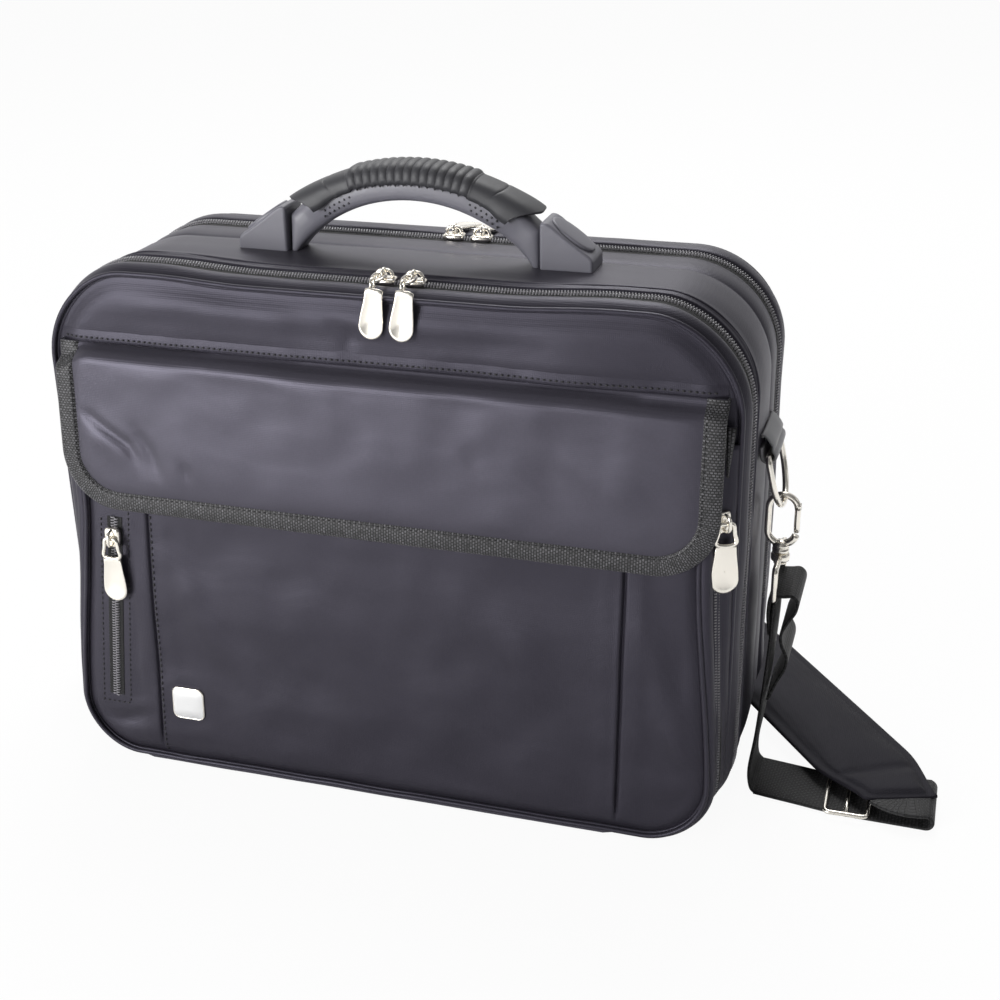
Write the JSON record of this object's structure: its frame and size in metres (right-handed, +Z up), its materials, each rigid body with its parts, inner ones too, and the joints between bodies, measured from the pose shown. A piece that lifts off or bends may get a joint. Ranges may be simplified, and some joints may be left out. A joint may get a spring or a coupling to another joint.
{
  "type": "medical bag",
  "caption": "Soft black medical bag with two zipped compartments, a flapped front pocket, a moulded carrying handle and a padded shoulder strap.",
  "frame": {"origin": "on the ground, under the middle of the band between the two main zips", "axes": "+X to the right as seen from the pocket side, +Y to the back, +Z up"},
  "size_m": [0.5548, 0.4004, 0.3522],
  "materials": {
    "shell_fabric": "tight woven nylon, faint sheen",
    "binding": "ribbed woven tape",
    "zip_tape": "woven tape with a nylon coil",
    "webbing": "heavy woven webbing",
    "pad_fabric": "woven, quilted in panels",
    "hook_and_loop": "hook and loop pile",
    "board": "plain sheet",
    "moulded_plastic": "fine moulded texture",
    "grip_rubber": "soft, fine grain",
    "steel": "plated",
    "badge_metal": "satin, plain",
    "nickel": "satin nickel plate"
  },
  "bodies": {
    "case": {"gusset_band": "shell_fabric", "divider_panel": "board", "base_board": "board", "front_hinge_strip": "shell_fabric", "rear_fold_strip": "binding", "rear_base_panel": "shell_fabric", "rear_base_piping": "binding", "handle_backing_plate": "steel", "bracket_screws": "steel", "handle_pins": "steel", "handle_bracket_left": "moulded_plastic", "handle_bracket_right": "moulded_plastic", "front_zip_tape_case": "zip_tape", "rear_zip_tape_case": "zip_tape", "side_loop_left": "binding", "side_loop_right": "binding", "strap_ring_left": "nickel", "strap_ring_right": "nickel", "strap_eye_left": "nickel", "strap_eye_right": "nickel", "strap_drop_right": "webbing", "strap_floor_run": "webbing", "strap_fold": "webbing", "strap_pad": "pad_fabric", "strap_rear_run": "webbing", "strap_drop_left": "webbing"},
    "front_cover": {"front_cover_panel": "shell_fabric", "front_piping": "binding", "pocket_piping": "binding", "front_zip_tape_cover": "zip_tape", "front_pocket": "shell_fabric", "side_zip_tape": "zip_tape", "small_zip_tape": "zip_tape", "badge_plate": "badge_metal", "pocket_fastener": "hook_and_loop"},
    "flap": {"flap_panel": "shell_fabric", "flap_binding": "binding", "flap_fastener": "hook_and_loop"},
    "rear_cover": {"rear_cover_panel": "shell_fabric", "rear_piping": "binding", "rear_zip_tape_cover": "zip_tape"},
    "handle": {"handle_arch": "moulded_plastic", "handle_grip": "grip_rubber"},
    "strap_slider": {"strap_slider": "nickel"},
    "front_slider_left": {"front_slider_left": "nickel"},
    "front_pull_left": {"front_pull_left": "nickel"},
    "front_slider_right": {"front_slider_right": "nickel"},
    "front_pull_right": {"front_pull_right": "nickel"},
    "rear_slider_left": {"rear_slider_left": "nickel"},
    "rear_pull_left": {"rear_pull_left": "nickel"},
    "rear_slider_right": {"rear_slider_right": "nickel"},
    "rear_pull_right": {"rear_pull_right": "nickel"},
    "small_zip_slider": {"small_zip_slider": "nickel"},
    "small_zip_pull": {"small_zip_pull": "nickel"},
    "side_zip_slider": {"side_zip_slider": "nickel"},
    "side_zip_pull": {"side_zip_pull": "nickel"},
    "snap_hook_left": {"snap_hook_left": "nickel"},
    "hook_gate_left": {"hook_gate_left": "nickel"},
    "snap_hook_right": {"snap_hook_right": "nickel"},
    "hook_gate_right": {"hook_gate_right": "nickel"}
  },
  "joints": [
    {"name": "front_cover_opening", "type": "hinge", "parent": "case", "child": "front_cover", "pos_m": [0, -0.0928, 0.0012], "axis": [1, 0, 0], "range_deg": [0, 90]},
    {"name": "rear_cover_fold", "type": "hinge", "parent": "case", "child": "rear_cover", "pos_m": [0, 0.0777, 0.09], "axis": [-1, 0, 0], "range_deg": [0, 90]},
    {"name": "flap_lift", "type": "hinge", "parent": "front_cover", "child": "flap", "pos_m": [0, -0.0676, 0.259], "axis": [1, 0, 0], "range_deg": [-120, 0]},
    {"name": "handle_fold", "type": "hinge", "parent": "case", "child": "handle", "pos_m": [0, 0.004, 0.311], "axis": [1, 0, 0], "range_deg": [-65, 65]},
    {"name": "front_zip_left", "type": "slide", "parent": "front_cover", "child": "front_slider_left", "axis": [-1, 0, 0], "range_m": [0, 0.115]},
    {"name": "front_pull_left_swing", "type": "hinge", "parent": "front_slider_left", "child": "front_pull_left", "pos_m": [-0.0005, -0.047, 0.30635], "axis": [1, 0, 0], "range_deg": [-90, 0]},
    {"name": "front_zip_right", "type": "slide", "parent": "front_cover", "child": "front_slider_right", "axis": [1, 0, 0], "range_m": [0, 0.115]},
    {"name": "front_pull_right_swing", "type": "hinge", "parent": "front_slider_right", "child": "front_pull_right", "pos_m": [0.0165, -0.047, 0.30635], "axis": [1, 0, 0], "range_deg": [-90, 0]},
    {"name": "rear_zip_left", "type": "slide", "parent": "rear_cover", "child": "rear_slider_left", "axis": [-1, 0, 0], "range_m": [0, 0.115]},
    {"name": "rear_pull_left_swing", "type": "hinge", "parent": "rear_slider_left", "child": "rear_pull_left", "pos_m": [0.0075, 0.047, 0.30635], "axis": [-1, 0, 0], "range_deg": [-90, 0]},
    {"name": "rear_zip_right", "type": "slide", "parent": "rear_cover", "child": "rear_slider_right", "axis": [1, 0, 0], "range_m": [0, 0.105]},
    {"name": "rear_pull_right_swing", "type": "hinge", "parent": "rear_slider_right", "child": "rear_pull_right", "pos_m": [0.0245, 0.047, 0.30635], "axis": [-1, 0, 0], "range_deg": [-90, 0]},
    {"name": "small_zip_slide", "type": "slide", "parent": "front_cover", "child": "small_zip_slider", "axis": [0, -0.0743, -0.9972], "range_m": [0, 0.086]},
    {"name": "small_zip_pull_swing", "type": "hinge", "parent": "small_zip_slider", "child": "small_zip_pull", "pos_m": [-0.166, -0.08736, 0.14513], "axis": [1, 0, 0], "range_deg": [-150, 0]},
    {"name": "side_zip_slide", "type": "slide", "parent": "front_cover", "child": "side_zip_slider", "axis": [0, 0, -1], "range_m": [0, 0.12]},
    {"name": "side_zip_pull_swing", "type": "hinge", "parent": "side_zip_slider", "child": "side_zip_pull", "pos_m": [0.20165, -0.073, 0.196], "axis": [0, 1, 0], "range_deg": [-150, 0]},
    {"name": "hook_swivel_left", "type": "hinge", "parent": "case", "child": "snap_hook_left", "pos_m": [-0.21294, 0.002, 0.15], "axis": [0, 0, 1], "range_deg": [-15, 15]},
    {"name": "hook_gate_left_press", "type": "hinge", "parent": "snap_hook_left", "child": "hook_gate_left", "pos_m": [-0.22104, 0.002, 0.15638], "axis": [0, 1, 0], "range_deg": [0, 14], "stiffness_Nm_per_rad": 0.03},
    {"name": "hook_swivel_right", "type": "hinge", "parent": "case", "child": "snap_hook_right", "pos_m": [0.21294, 0.002, 0.15], "axis": [0, 0, 1], "range_deg": [-15, 15]},
    {"name": "hook_gate_right_press", "type": "hinge", "parent": "snap_hook_right", "child": "hook_gate_right", "pos_m": [0.22104, 0.002, 0.15638], "axis": [0, -1, 0], "range_deg": [0, 14], "stiffness_Nm_per_rad": 0.03},
    {"name": "strap_length", "type": "slide", "parent": "case", "child": "strap_slider", "axis": [1, 0, 0], "range_m": [-0.02, 0.012]}
  ]
}
